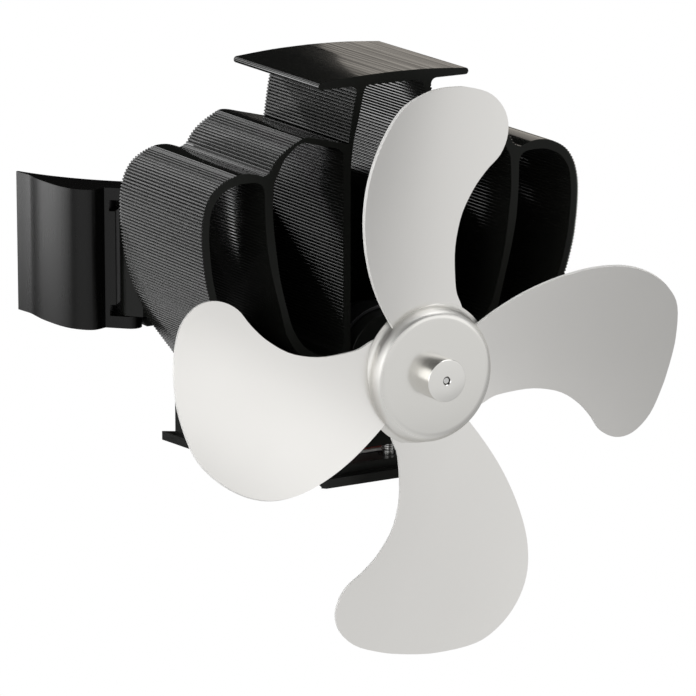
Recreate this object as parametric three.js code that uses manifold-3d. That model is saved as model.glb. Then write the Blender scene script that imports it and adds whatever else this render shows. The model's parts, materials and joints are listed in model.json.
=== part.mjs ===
// Thermoelectric stove fan that clamps to a flue pipe, in millimetres, +Z up.
// The origin is the middle of the hollow pipe saddle. +Y points into the pipe, so the fan looks along -Y,
// and +X is on the right of someone who faces the blades.
import * as THREE from 'three';
import { mergeVertices } from 'three/addons/utils/BufferGeometryUtils.js';
import Module from 'manifold-3d';

const wasm = await Module();
wasm.setup();

// Driving dimensions
const pipeRadius = 76;
const fanRadius = 90;
const fanAxisDrop = 26.5;
const fanStandoff = 20;
const sinkDepth = 53.5;
const sinkHalfWidth = 68.3;
const sinkRise = 91.7;
const sinkWall = 2.5;
const columnWall = 2.8;
const padDrop = 27.3;
const padThickness = 7.3;
const padHalfWidth = 26;
const airGap = 3;
const saddleWall = 3.5;
const capHalfWidth = 27;
const capThickness = 3.4;
const capEndThickness = 2.1;
const motorRadius = 15;
const motorLength = 19;
const shaftRadius = 1;
const tegSide = 40;
const tegPlateThickness = 0.8;
const tegCoreThickness = 1.8;
const thermalPadThickness = 0.25;
const pedestalHeight = 2.9;
const footThickness = 2.9;
const footFrontHalfWidth = 28.6;
const footBackHalfWidth = 43.1;
const footOverhang = 5.5;
const stemHalfWidth = 39.5;
const wingHeight = 45.5;
const wingThickness = 16.2;
const wingArmHeight = 3.9;
const wingPipeGap = 6.6;
const hingeDegrees = 39.6;
const hingePinOffset = 14.2;
const hingePinRadius = 1.5;
const knuckleRadius = 3.3;
const magnetRadius = 6;
const magnetThickness = 4;

// Clearances
const fitGap = 0.3;
const pocketGap = 0.5;
const turnGap = 0.5;
const cutOverrun = 1;

// Resolution of round work, in segments to a full turn
const fine = 64;
const medium = 32;
const coarse = 20;

// Levels and planes that everything is stacked on
const axisZ = -fanAxisDrop;
const saddleFrontY = -saddleWall;
const sinkBackY = saddleFrontY - airGap;
const sinkFrontY = sinkBackY - sinkDepth;
const sinkMidY = (sinkBackY + sinkFrontY) / 2;
const bladePlaneY = sinkFrontY - fanStandoff;
const padBottomZ = axisZ - padDrop;
const tegStack = 2 * thermalPadThickness + 2 * tegPlateThickness + tegCoreThickness;
const pedestalTopZ = padBottomZ - tegStack;
const footTopZ = pedestalTopZ - pedestalHeight;
const footBottomZ = footTopZ - footThickness;
const channelHalfWidth = motorRadius + pocketGap;
const columnHalfWidth = channelHalfWidth + columnWall;

// Each hinge pin stands its offset outside the pipe face, at its angle round the pipe
const hingeAngle = THREE.MathUtils.degToRad(hingeDegrees);
const hingePinX = (pipeRadius + hingePinOffset) * Math.sin(hingeAngle);
const hingePinY = pipeRadius - (pipeRadius + hingePinOffset) * Math.cos(hingeAngle);

// Finishes
const blackAnodised = { color: 0x1b1c1a, roughness: 0.42, metalness: 0.7 };
const blackCoated = { color: 0x161714, roughness: 0.5, metalness: 0.4 };
const brushedAluminium = { color: 0xcfcdc6, roughness: 0.34, metalness: 0.9 };
const turnedAluminium = { color: 0xbdbab2, roughness: 0.26, metalness: 0.95 };
const brightSteel = { color: 0xc4c4c2, roughness: 0.28, metalness: 1 };
const darkSteel = { color: 0x3a3b3c, roughness: 0.45, metalness: 0.85 };
const bronze = { color: 0x9a6f3c, roughness: 0.4, metalness: 0.9 };
const copper = { color: 0xb06a3a, roughness: 0.4, metalness: 0.9 };
const ceramic = { color: 0xf0eee8, roughness: 0.55, metalness: 0 };
const redSealant = { color: 0x7c2a24, roughness: 0.6, metalness: 0 };
const graphite = { color: 0x2b2b2d, roughness: 0.7, metalness: 0.2 };
const magnetPlate = { color: 0xa9abad, roughness: 0.3, metalness: 1 };
const ferrite = { color: 0x303134, roughness: 0.7, metalness: 0.3 };
const heatPolymer = { color: 0x24241f, roughness: 0.6, metalness: 0 };
const redSleeve = { color: 0xa8201c, roughness: 0.5, metalness: 0 };
const blackSleeve = { color: 0x141414, roughness: 0.5, metalness: 0 };

const stoveFan = new THREE.Group();

function addPiece(name, geometry, finish) {
  const mesh = new THREE.Mesh(geometry, new THREE.MeshStandardMaterial(finish));
  mesh.name = name;
  stoveFan.add(mesh);
}

// Booleans
function toSolid(geometry) {
  const bare = geometry.clone();
  bare.deleteAttribute('normal');
  bare.deleteAttribute('uv');
  const merged = mergeVertices(bare);
  const vertProperties = new Float32Array(merged.attributes.position.array);
  const triVerts = new Uint32Array(merged.index.array);
  return new wasm.Manifold(new wasm.Mesh({ numProp: 3, vertProperties, triVerts }));
}

function toGeometry(solid) {
  const mesh = solid.getMesh();
  const geometry = new THREE.BufferGeometry();
  geometry.setAttribute('position', new THREE.BufferAttribute(mesh.vertProperties, mesh.numProp));
  geometry.setIndex(new THREE.BufferAttribute(mesh.triVerts, 1));
  return geometry;
}

function joined(...geometries) {
  const solids = geometries.map(toSolid);
  return toGeometry(solids.reduce((sum, solid) => sum.add(solid)));
}

function cut(geometry, ...tools) {
  const solids = tools.map(toSolid);
  return toGeometry(solids.reduce((rest, tool) => rest.subtract(tool), toSolid(geometry)));
}

// Shapes: a plan is a list of 2-D points, a prism is a plan pulled along Z or along Y
function planOf(pairs) {
  return pairs.map(([x, y]) => new THREE.Vector2(x, y));
}

function smooth(pairs, stepsPerSpan) {
  const curve = new THREE.SplineCurve(planOf(pairs));
  return curve.getPoints(stepsPerSpan * (pairs.length - 1)).map((point) => [point.x, point.y]);
}

function arc(centreX, centreY, radius, fromDegrees, toDegrees, segments) {
  const points = [];
  for (let step = 0; step <= segments; step += 1) {
    const angle = THREE.MathUtils.degToRad(fromDegrees + (toDegrees - fromDegrees) * step / segments);
    points.push([centreX + radius * Math.cos(angle), centreY + radius * Math.sin(angle)]);
  }
  return points;
}

function mirrored(pairs) {
  return pairs.map(([x, y]) => [-x, y]).reverse();
}

function prismZ(pairs, bottomZ, topZ, holes = []) {
  const outline = planOf(pairs);
  if (THREE.ShapeUtils.isClockWise(outline)) outline.reverse();
  const shape = new THREE.Shape(outline);
  holes.forEach((hole) => shape.holes.push(new THREE.Path(planOf(hole))));
  const geometry = new THREE.ExtrudeGeometry(shape, { depth: topZ - bottomZ, bevelEnabled: false });
  return geometry.translate(0, 0, bottomZ);
}

function prismY(pairs, frontY, backY, holes = []) {
  const geometry = prismZ(pairs, 0, backY - frontY, holes);
  return geometry.rotateX(Math.PI / 2).translate(0, backY, 0);
}

function block(fromX, toX, fromY, toY, fromZ, toZ) {
  const geometry = new THREE.BoxGeometry(toX - fromX, toY - fromY, toZ - fromZ);
  return geometry.translate((fromX + toX) / 2, (fromY + toY) / 2, (fromZ + toZ) / 2);
}

// A turned piece: profile pairs are [radius, height along the axis]
function turnedZ(profile, segments) {
  return new THREE.LatheGeometry(planOf(profile), segments).rotateX(Math.PI / 2);
}

// The same about the fan axis, heights measured towards the pipe from the plane at startY
function turnedOnAxis(profile, startY, segments) {
  const geometry = new THREE.LatheGeometry(planOf(profile), segments);
  return geometry.translate(0, startY, axisZ);
}

function rod(radius, length) {
  return [[0, 0], [radius, 0], [radius, length], [0, length]];
}

function tube(innerRadius, outerRadius, length) {
  return [
    [innerRadius, 0], [outerRadius, 0], [outerRadius, length], [innerRadius, length], [innerRadius, 0],
  ];
}

// Heat sink: one extrusion with a capped centre column, two inner cells and two outer cells.
// Shares are of the half width and of the rise above the fan axis.
const roofShares = [
  [0.352, 0.789], [0.457, 0.806], [0.523, 0.790], [0.586, 0.761], [0.624, 0.733], [0.652, 0.702],
  [0.681, 0.690],
];
const lobeShares = [
  [0.681, 0.690], [0.744, 0.705], [0.807, 0.706], [0.870, 0.693], [0.933, 0.664], [0.975, 0.618],
  [0.996, 0.560], [1, 0.5], [0.993, 0.422], [0.974, 0.329], [0.928, 0.216], [0.857, 0.104],
  [0.789, 0.030], [0.719, -0.038],
];
const outerCellShares = [
  [0.674, 0.636], [0.684, 0.657], [0.712, 0.671], [0.761, 0.674], [0.810, 0.672], [0.860, 0.660],
  [0.908, 0.637], [0.947, 0.589], [0.9586, 0.513], [0.952, 0.425], [0.934, 0.333], [0.892, 0.224], [0.823, 0.118], [0.758, 0.048],
  [0.688, -0.020],
];
const webOuterShares = [
  [0.352, 0.010], [0.432, 0.028], [0.505, 0.069], [0.559, 0.129], [0.574, 0.164], [0.600, 0.240],
  [0.630, 0.327], [0.659, 0.436], [0.671, 0.545], [0.674, 0.636],
];
const webInnerShares = [
  [0.604, 0.690], [0.622, 0.665], [0.628, 0.633], [0.630, 0.545], [0.615, 0.436], [0.593, 0.327],
  [0.556, 0.218], [0.527, 0.153], [0.477, 0.094], [0.410, 0.057], [0.344, 0.044],
];
const roofInnerShares = [
  [0.295, 0.757], [0.380, 0.772], [0.450, 0.786], [0.476, 0.789], [0.507, 0.780], [0.543, 0.759],
  [0.575, 0.735], [0.604, 0.690],
];
const columnLeanShares = [[0.690, 0.945], [0.785, 0.872], [0.930, 0.772], [0.985, 0.700], [1, 0.654]];
const columnOuterShares = [[0.733, 0.945], [0.814, 0.872], [0.895, 0.768]];
const columnSideRiseShare = 0.735;

function sinkPoint([acrossShare, upShare]) {
  return [acrossShare * sinkHalfWidth, axisZ + upShare * sinkRise];
}

function columnPoint(halfWidth) {
  return ([acrossShare, upShare]) => [acrossShare * halfWidth, axisZ + upShare * sinkRise];
}

const capTopZ = axisZ + sinkRise;
const capUnderZ = capTopZ - capThickness;
const capShoulderDrop = 0.3;
const capEndRadius = capEndThickness / 2;
const capFillet = 2;
const cellFillet = 3;

function capOutline() {
  const endX = capHalfWidth - capEndRadius;
  const endZ = capUnderZ + capEndRadius;
  const crownPairs = [[0, capTopZ], [endX / 2, capTopZ - capShoulderDrop], [endX, endZ + capEndRadius]];
  const crown = smooth(crownPairs, 4);
  const nose = arc(endX, endZ, capEndRadius, 90, -90, 6);
  const hollowX = columnOuterShares[0][0] * columnHalfWidth + capFillet;
  const hollow = arc(hollowX, capUnderZ - capFillet, capFillet, 90, 180, 4);
  return [...crown, ...nose.slice(1), ...hollow];
}

const pocketFromDegrees = -54;
const pocketToDegrees = -4;
const padRise = 0.8;
const padTopZ = padBottomZ + padThickness;

function sinkOutline() {
  const cap = capOutline();
  const column = smooth(columnOuterShares.map(columnPoint(columnHalfWidth)), 2);
  const roof = smooth([column[column.length - 1], ...roofShares.map(sinkPoint)], 3);
  const lobe = smooth(lobeShares.map(sinkPoint), 3);
  const right = [
    ...cap,
    ...column.slice(1),
    ...roof.slice(1),
    ...lobe.slice(1),
    [padHalfWidth, padTopZ],
    [padHalfWidth, padBottomZ],
  ];
  return [...right, ...mirrored(right.slice(1))];
}

function outerCell() {
  const wall = smooth(outerCellShares.map(sinkPoint), 3);
  const web = smooth(webOuterShares.map(sinkPoint), 3);
  const pocket = arc(0, axisZ, columnHalfWidth, pocketFromDegrees, pocketToDegrees, 8);
  const foot = [
    [padHalfWidth - sinkWall, padTopZ + sinkWall],
    [padHalfWidth - 2 * sinkWall, padTopZ],
    [pocket[0][0], padTopZ + padRise],
  ];
  return [...wall, ...foot, ...pocket, ...web.slice(0, -1)];
}

function innerCell() {
  const roof = smooth(roofInnerShares.map(sinkPoint), 3);
  const web = smooth(webInnerShares.map(sinkPoint), 3);
  const floorZ = web[web.length - 1][1];
  const hollow = arc(columnHalfWidth + cellFillet, floorZ + cellFillet, cellFillet, -90, -180, 5);
  const straightTopZ = axisZ + columnSideRiseShare * sinkRise;
  return [...roof, ...web.slice(1, -1), ...hollow, [columnHalfWidth, straightTopZ]];
}

function channel() {
  const lean = smooth(columnLeanShares.map(columnPoint(channelHalfWidth)), 3);
  const topX = lean[0][0] - capFillet;
  const hollow = arc(topX, capUnderZ - capFillet, capFillet, 90, 0, 4);
  const right = [...hollow, ...lean.slice(1)];
  const cradle = arc(0, axisZ, channelHalfWidth, 0, -180, 20);
  return [...right, ...cradle, ...mirrored(right)];
}

// Clamp screws: two M4 screws that pull the heat sink down on the generator, one in front and one behind
const clampRadius = 2;
const clampSpacing = 47.2;
const clampHeadRadius = 3.5;
const clampHeadHeight = 2.2;
const clampWasherRadius = 3.7;
const clampWasherThickness = 0.9;
const bushFlangeRadius = 4.3;
const bushFlangeThickness = 0.5;
const bushWall = 0.7;
const clampThreadDepth = 7;
const clampPlaces = { front: sinkMidY - clampSpacing / 2, back: sinkMidY + clampSpacing / 2 };
const clampBoreDepth = clampHeadHeight + clampWasherThickness + bushFlangeThickness;
const bushInnerRadius = clampRadius + fitGap;
const bushOuterRadius = bushInnerRadius + bushWall;

function heatSink() {
  const holes = [outerCell(), mirrored(outerCell()), innerCell(), mirrored(innerCell()), channel()];
  const bar = prismY(sinkOutline(), sinkFrontY, sinkBackY, holes);
  const tappings = Object.values(clampPlaces).map((placeY) => {
    const hole = turnedZ(rod(clampRadius + fitGap, clampThreadDepth + fitGap + cutOverrun), coarse);
    return hole.translate(0, placeY, padBottomZ - cutOverrun);
  });
  return cut(bar, ...tappings);
}

addPiece('heat_sink', heatSink(), blackAnodised);

// Fan: one stamped sheet with a raised hub disc and four blades.
// An edge pair is a share of the fan radius and degrees clockwise from the middle of the blade.
const sheet = 1;
const hubFaceHeight = 5.8;
const hubShoulder = 2;
const hubFlangeWidth = 1.5;
const hubWallShare = 0.2378;
const hubWallRadius = hubWallShare * fanRadius;
const hubFaceRadius = hubWallRadius - hubShoulder;
const hubFlangeRadius = hubWallRadius + hubFlangeWidth;
const hubHoleRadius = 5.3;
const leadingEdgeShares = [
  [0.233, -40], [0.256, -39.6], [0.311, -38.7], [0.416, -36.6], [0.537, -33.4], [0.651, -29.9],
  [0.733, -26.8], [0.806, -23.3], [0.878, -18.7], [0.940, -13.5], [0.979, -8.5], [0.997, -1], [1, 4.6],
];
const trailingEdgeShares = [
  [0.233, 40], [0.261, 32], [0.306, 21.9], [0.416, 14.9], [0.540, 13.8], [0.648, 16.5],
  [0.727, 19.7], [0.794, 22.7], [0.870, 23.1], [0.938, 20.9], [0.984, 16.2], [0.998, 10], [1, 4.6],
];
const bladeRows = 15;
const bladeColumns = 5;
const bladeCount = 4;
const bladeLiftShare = -0.0034;
const bladeTiltShare = -0.026;
const bladeTwistShare = -0.339;
const bladeDishShare = 0.299;
const bladeLeanShare = 0.0466;

// Height of the sheet towards the viewer, for a place given in shares of the fan radius
function bladeHeight(across, out) {
  const tilt = bladeTiltShare * across + bladeLeanShare * out;
  const twist = bladeTwistShare * across * out + bladeDishShare * across * across;
  return fanRadius * (bladeLiftShare + tilt + twist);
}

function bladePoint(radiusShare, degrees, turnDegrees, side) {
  const angle = THREE.MathUtils.degToRad(degrees);
  const height = bladeHeight(radiusShare * Math.sin(angle), radiusShare * Math.cos(angle));
  const turned = THREE.MathUtils.degToRad(degrees + turnDegrees);
  const radius = radiusShare * fanRadius;
  const depth = bladePlaneY - height + side * sheet / 2;
  return [radius * Math.sin(turned), depth, axisZ + radius * Math.cos(turned)];
}

function blade(turnDegrees) {
  const leading = smooth(leadingEdgeShares, 4);
  const trailing = smooth(trailingEdgeShares, 4);
  const positions = [];
  const faces = [];
  const rowOf = (row) => {
    const place = Math.round(row * (leading.length - 1) / bladeRows);
    return [leading[place], trailing[place]];
  };
  const width = bladeColumns + 1;
  const index = (side, row, column) => (side * bladeRows + row) * width + column;
  for (const side of [0, 1]) {
    for (let row = 0; row < bladeRows; row += 1) {
      const [lead, trail] = rowOf(row);
      for (let column = 0; column < width; column += 1) {
        const share = column / bladeColumns;
        const radiusShare = lead[0] + (trail[0] - lead[0]) * share;
        const degrees = lead[1] + (trail[1] - lead[1]) * share;
        positions.push(...bladePoint(radiusShare, degrees, turnDegrees, side * 2 - 1));
      }
    }
  }
  const tipShares = leadingEdgeShares[leadingEdgeShares.length - 1];
  const tips = [0, 1].map((side) => {
    positions.push(...bladePoint(tipShares[0], tipShares[1], turnDegrees, side * 2 - 1));
    return positions.length / 3 - 1;
  });
  const quad = (a, b, c, d) => faces.push(a, b, c, a, c, d);
  for (let row = 0; row < bladeRows - 1; row += 1) {
    const next = row + 1;
    const end = bladeColumns;
    for (let column = 0; column < bladeColumns; column += 1) {
      const beside = column + 1;
      const corners = [[row, column], [row, beside], [next, beside], [next, column]];
      quad(...corners.map(([atRow, atColumn]) => index(0, atRow, atColumn)));
      quad(...corners.reverse().map(([atRow, atColumn]) => index(1, atRow, atColumn)));
    }
    quad(index(0, row, 0), index(0, next, 0), index(1, next, 0), index(1, row, 0));
    quad(index(0, next, end), index(0, row, end), index(1, row, end), index(1, next, end));
  }
  const last = bladeRows - 1;
  for (let column = 0; column < bladeColumns; column += 1) {
    faces.push(index(0, last, column), index(0, last, column + 1), tips[0]);
    faces.push(index(1, last, column + 1), index(1, last, column), tips[1]);
    quad(index(0, 0, column + 1), index(0, 0, column), index(1, 0, column), index(1, 0, column + 1));
  }
  quad(index(0, last, 0), tips[0], tips[1], index(1, last, 0));
  quad(tips[0], index(0, last, bladeColumns), index(1, last, bladeColumns), tips[1]);
  const geometry = new THREE.BufferGeometry();
  geometry.setAttribute('position', new THREE.Float32BufferAttribute(positions, 3));
  geometry.setIndex(faces);
  return geometry;
}

// Profile heights of the hub disc run from its face towards the pipe
function hubDisc() {
  const flangeBack = hubFaceHeight + sheet / 2;
  const flangeFront = flangeBack - sheet;
  const innerWallRadius = hubWallRadius - sheet;
  const profile = [
    [hubHoleRadius, 0],
    ...arc(hubFaceRadius, hubShoulder, hubShoulder, -90, 0, 4),
    [hubWallRadius, flangeFront],
    [hubFlangeRadius, flangeFront],
    [hubFlangeRadius, flangeBack],
    [innerWallRadius, flangeBack],
    ...arc(hubFaceRadius, hubShoulder, hubShoulder - sheet, 0, -90, 4),
    [hubHoleRadius, sheet],
    [hubHoleRadius, 0],
  ];
  return turnedOnAxis(profile, bladePlaneY - hubFaceHeight, fine);
}

const blades = Array.from({ length: bladeCount }, (_, copy) => blade(copy * 360 / bladeCount));
addPiece('fan_blades', joined(hubDisc(), ...blades), brushedAluminium);

// Hub boss: a turned knob in front of the disc, with a threaded neck that passes through it
const bossRadius = 6.75;
const bossLength = 6.5;
const bossNeckRadius = hubHoleRadius - fitGap;
const bossNeckLength = 12;
const bossChamfer = 0.3;
const hubNutRadius = 8;
const hubNutThickness = 3;
const grubRadius = 1.25;
const grubInset = 2.4;
const shaftInset = 0.4;
const hubFaceY = bladePlaneY - hubFaceHeight;
const bossFrontY = hubFaceY - bossLength;
const bossBore = shaftRadius + fitGap;
const neckBackY = hubFaceY + bossNeckLength;
const grubY = neckBackY - grubInset;

function hubBoss() {
  const profile = [
    [bossBore, 0],
    [bossRadius - bossChamfer, 0],
    [bossRadius, bossChamfer],
    [bossRadius, bossLength],
    [bossNeckRadius, bossLength],
    [bossNeckRadius, bossLength + bossNeckLength],
    [bossBore, bossLength + bossNeckLength],
    [bossBore, 0],
  ];
  const turned = turnedOnAxis(profile, bossFrontY, medium);
  const crossLength = 2 * (bossNeckRadius + cutOverrun);
  const cross = new THREE.CylinderGeometry(grubRadius + fitGap, grubRadius + fitGap, crossLength, coarse);
  return cut(turned, cross.rotateZ(Math.PI / 2).translate(0, grubY, axisZ));
}

function grubScrew(side) {
  const length = bossNeckRadius - bossBore;
  const screw = new THREE.CylinderGeometry(grubRadius, grubRadius, length, coarse);
  return screw.rotateZ(Math.PI / 2).translate(side * (bossBore + length / 2), grubY, axisZ);
}

addPiece('hub_boss', hubBoss(), turnedAluminium);
const hubNut = turnedOnAxis(tube(hubHoleRadius, hubNutRadius, hubNutThickness), hubFaceY + sheet, medium);
addPiece('hub_nut', hubNut, brightSteel);
addPiece('grub_screw_right', grubScrew(1), darkSteel);
addPiece('grub_screw_left', grubScrew(-1), darkSteel);

// Motor: a flat direct-current motor lying in the cradle at the bottom of the channel
const motorWall = 1;
const motorFrontInset = 1;
const bearingRadius = 3;
const bearingLength = 3;
const motorBossRadius = 4.5;
const motorBossLength = 2.5;
const endCapThickness = 2;
const magnetArcThickness = 2.6;
const magnetArcLength = 11;
const magnetArcDegrees = 130;
const armatureLength = 8;
const commutatorRadius = 3.2;
const commutatorLength = 3.5;
const terminalWidth = 2.4;
const terminalThickness = 0.5;
const terminalLength = 4;
const terminalX = 7;
const clipThickness = 1;
const clipWidth = 8;
const motorFrontY = sinkFrontY + motorFrontInset;
const motorBackY = motorFrontY + motorLength;
const motorBoreRadius = motorRadius - motorWall;
const bearingBore = shaftRadius + fitGap;
const bearingSeat = bearingRadius + fitGap;
const armatureRadius = motorBoreRadius - fitGap - magnetArcThickness - turnGap;
const magnetFrontY = motorFrontY + motorWall + turnGap;

function motorCan() {
  const profile = [
    [bearingSeat, 0],
    [motorBossRadius, 0],
    [motorBossRadius, motorBossLength],
    [motorRadius, motorBossLength],
    [motorRadius, motorBossLength + motorLength],
    [motorBoreRadius, motorBossLength + motorLength],
    [motorBoreRadius, motorBossLength + motorWall],
    [bearingSeat, motorBossLength + motorWall],
    [bearingSeat, 0],
  ];
  return turnedOnAxis(profile, motorFrontY - motorBossLength, medium);
}

function motorEndCap() {
  const capRadius = motorBoreRadius - fitGap;
  const plateFrontY = motorBackY - endCapThickness;
  const plate = turnedOnAxis(tube(bearingSeat, capRadius, endCapThickness), plateFrontY, medium);
  const ringTube = tube(bearingSeat, motorBossRadius, motorBossLength);
  const ring = turnedOnAxis(ringTube, motorBackY - fitGap, medium);
  const slots = [-1, 1].map((side) => terminal(side, fitGap));
  return cut(joined(plate, ring), ...slots);
}

function terminal(side, margin) {
  const halfWidth = terminalWidth / 2 + margin;
  const halfThickness = terminalThickness / 2 + margin;
  const middleX = side * terminalX;
  const frontY = motorBackY - endCapThickness - margin - terminalLength / 2;
  const backY = motorBackY + terminalLength / 2;
  const leftX = middleX - halfThickness;
  return block(leftX, leftX + 2 * halfThickness, frontY, backY, axisZ - halfWidth, axisZ + halfWidth);
}

function magnetArc(middleDegrees) {
  const outer = motorBoreRadius - fitGap;
  const from = middleDegrees - magnetArcDegrees / 2;
  const to = middleDegrees + magnetArcDegrees / 2;
  const outline = [
    ...arc(0, axisZ, outer, from, to, 12),
    ...arc(0, axisZ, outer - magnetArcThickness, to, from, 12),
  ];
  return prismY(outline, magnetFrontY, magnetFrontY + magnetArcLength);
}

function motorClip() {
  const inner = motorRadius + fitGap;
  const outer = inner + clipThickness;
  const reach = THREE.MathUtils.radToDeg(Math.acos((channelHalfWidth - fitGap / 2) / outer));
  const outline = [
    ...arc(0, axisZ, outer, reach, 180 - reach, 16),
    ...arc(0, axisZ, inner, 180 - reach, reach, 16),
  ];
  const middleY = (motorFrontY + motorBackY) / 2;
  return prismY(outline, middleY - clipWidth / 2, middleY + clipWidth / 2);
}

const armatureFrontY = magnetFrontY + (magnetArcLength - armatureLength) / 2;
const commutatorFrontY = armatureFrontY + armatureLength + fitGap;
const rearBearingFrontY = motorBackY - fitGap;
const shaftFrontY = bossFrontY + shaftInset;
const shaftLength = rearBearingFrontY + bearingLength - turnGap - shaftFrontY;

addPiece('motor_can', motorCan(), blackCoated);
addPiece('motor_end_cap', motorEndCap(), heatPolymer);
addPiece('motor_clip', motorClip(), darkSteel);
const bearing = tube(bearingBore, bearingRadius, bearingLength);
const bearingFront = turnedOnAxis(bearing, motorFrontY - motorBossLength, coarse);
addPiece('motor_bearing_front', bearingFront, bronze);
addPiece('motor_bearing_rear', turnedOnAxis(bearing, rearBearingFrontY - turnGap, coarse), bronze);
addPiece('motor_magnet_upper', magnetArc(90), ferrite);
addPiece('motor_magnet_lower', magnetArc(-90), ferrite);
addPiece('motor_shaft', turnedOnAxis(rod(shaftRadius, shaftLength), shaftFrontY, coarse), brightSteel);
const armature = tube(bearingBore, armatureRadius, armatureLength);
addPiece('motor_armature', turnedOnAxis(armature, armatureFrontY, medium), copper);
const commutator = tube(bearingBore, commutatorRadius, commutatorLength);
addPiece('motor_commutator', turnedOnAxis(commutator, commutatorFrontY, coarse), copper);
addPiece('motor_terminal_right', terminal(1, 0), bronze);
addPiece('motor_terminal_left', terminal(-1, 0), bronze);

// Thermoelectric generator between the pad of the heat sink and the pedestal of the foot
const tegInset = 1;

function tegLayer(name, bottomZ, thickness, inset, finish) {
  const half = tegSide / 2 - inset;
  const layer = block(-half, half, sinkMidY - half, sinkMidY + half, bottomZ, bottomZ + thickness);
  addPiece(name, layer, finish);
  return bottomZ + thickness;
}

const hotPlateZ = tegLayer('hot_thermal_pad', pedestalTopZ, thermalPadThickness, 0, graphite);
const tegCoreZ = tegLayer('teg_hot_plate', hotPlateZ, tegPlateThickness, 0, ceramic);
const coldPlateZ = tegLayer('teg_core', tegCoreZ, tegCoreThickness, tegInset, redSealant);
const coldPadZ = tegLayer('teg_cold_plate', coldPlateZ, tegPlateThickness, 0, ceramic);
tegLayer('cold_thermal_pad', coldPadZ, thermalPadThickness, 0, graphite);

// Leads from the generator up behind the heat sink and forward through the channel to the motor
const leadRadius = 0.7;
const leadBend = 2.2;
const leadX = 6;
const leadRiseY = (sinkBackY + saddleFrontY) / 2;
const leadStartY = sinkMidY + tegSide / 2 - tegInset + fitGap;
const leadStartZ = tegCoreZ + tegCoreThickness / 2;
const leadTopZ = axisZ + motorRadius / 2;
const leadEndY = motorBackY + leadRadius + fitGap;
const leadSteps = 32;
const leadSides = 8;

function lead(side) {
  const startX = side * leadX;
  const endX = side * (terminalX + terminalThickness / 2 + leadRadius + fitGap);
  const corners = [
    [startX, leadStartY, leadStartZ],
    [startX, leadRiseY, leadStartZ],
    [startX, leadRiseY, leadTopZ],
    [endX, leadEndY, leadTopZ],
    [endX, leadEndY, axisZ],
  ].map(([x, y, z]) => new THREE.Vector3(x, y, z));
  const path = new THREE.CurvePath();
  let last = corners[0];
  for (let corner = 1; corner < corners.length - 1; corner += 1) {
    const into = corners[corner].clone().sub(corners[corner - 1]).normalize();
    const out = corners[corner + 1].clone().sub(corners[corner]).normalize();
    const start = corners[corner].clone().addScaledVector(into, -leadBend / 2);
    const end = corners[corner].clone().addScaledVector(out, leadBend / 2);
    path.add(new THREE.LineCurve3(last, start));
    path.add(new THREE.QuadraticBezierCurve3(start, corners[corner], end));
    last = end;
  }
  path.add(new THREE.LineCurve3(last, corners[corners.length - 1]));
  const section = new THREE.Shape(planOf(arc(0, 0, leadRadius, 0, 360, leadSides).slice(0, -1)));
  return new THREE.ExtrudeGeometry(section, { steps: leadSteps, extrudePath: path, bevelEnabled: false });
}

addPiece('lead_red', lead(1), redSleeve);
addPiece('lead_black', lead(-1), blackSleeve);

// Foot: a plate that widens towards the pipe, with a raised pedestal under the generator.
// A side pair is a share of the way from front to back, and of the way from front to back half width.
const footSideShares = [
  [0, 0], [0.045, -0.09], [0.2, -0.02], [0.4, 0.25], [0.6, 0.6], [0.73, 0.79], [0.823, 0.877],
  [0.876, 0.914], [0.933, 0.951], [1, 1],
];
const footBevel = 1.2;
const pedestalHalfWidth = padHalfWidth;
const pedestalSetback = 3.5;
const saddleScrewRadius = 2;
const saddleScrewHeadRadius = 3.9;
const saddleScrewX = 30;
const saddleScrewDepth = 9;
const footFrontY = sinkFrontY - footOverhang;

function pipeFaceY(acrossX) {
  return pipeRadius - Math.sqrt(pipeRadius * pipeRadius - acrossX * acrossX);
}

function pipeFace(halfWidth, segments) {
  const points = [];
  for (let step = 0; step <= segments; step += 1) {
    const x = halfWidth - 2 * halfWidth * step / segments;
    points.push([x, pipeFaceY(x)]);
  }
  return points;
}

const saddleScrewY = (saddleFrontY + pipeFaceY(saddleScrewX)) / 2;
const footClearHole = saddleScrewRadius + fitGap;
const saddleScrewHeadHeight = saddleScrewHeadRadius - saddleScrewRadius;

function foot() {
  const sideFrontY = footFrontY + footBevel;
  const sideLength = pipeFaceY(footBackHalfWidth) - sideFrontY;
  const flare = footBackHalfWidth - footFrontHalfWidth;
  const side = smooth(footSideShares, 2).map(([along, across]) => (
    [footFrontHalfWidth + across * flare, sideFrontY + along * sideLength]
  ));
  const frontCorner = [footFrontHalfWidth - footBevel, footFrontY];
  const right = [frontCorner, ...side];
  const rear = pipeFace(footBackHalfWidth, 16).slice(1, -1);
  const plate = prismZ([...right, ...rear, ...mirrored(right)], footBottomZ, footTopZ);
  const pedestal = block(
    -pedestalHalfWidth, pedestalHalfWidth, footFrontY + pedestalSetback, saddleFrontY - fitGap,
    footTopZ - fitGap, pedestalTopZ,
  );
  const clampBores = Object.values(clampPlaces).flatMap((placeY) => {
    const bore = turnedZ(rod(bushFlangeRadius + fitGap, clampBoreDepth + cutOverrun), coarse);
    const holeDepth = footThickness + pedestalHeight + 2 * cutOverrun;
    const hole = turnedZ(rod(bushOuterRadius + fitGap, holeDepth), coarse);
    return [bore, hole].map((tool) => tool.translate(0, placeY, footBottomZ - cutOverrun));
  });
  const countersinks = [-1, 1].map((side) => {
    const wide = saddleScrewHeadRadius + fitGap;
    const profile = [
      [0, -cutOverrun],
      [wide, -cutOverrun],
      [wide, 0],
      [footClearHole, wide - footClearHole],
      [footClearHole, footThickness + cutOverrun],
      [0, footThickness + cutOverrun],
    ];
    return turnedZ(profile, coarse).translate(side * saddleScrewX, saddleScrewY, footBottomZ);
  });
  return cut(joined(plate, pedestal), ...clampBores, ...countersinks);
}

addPiece('base_foot', foot(), blackCoated);

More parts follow.
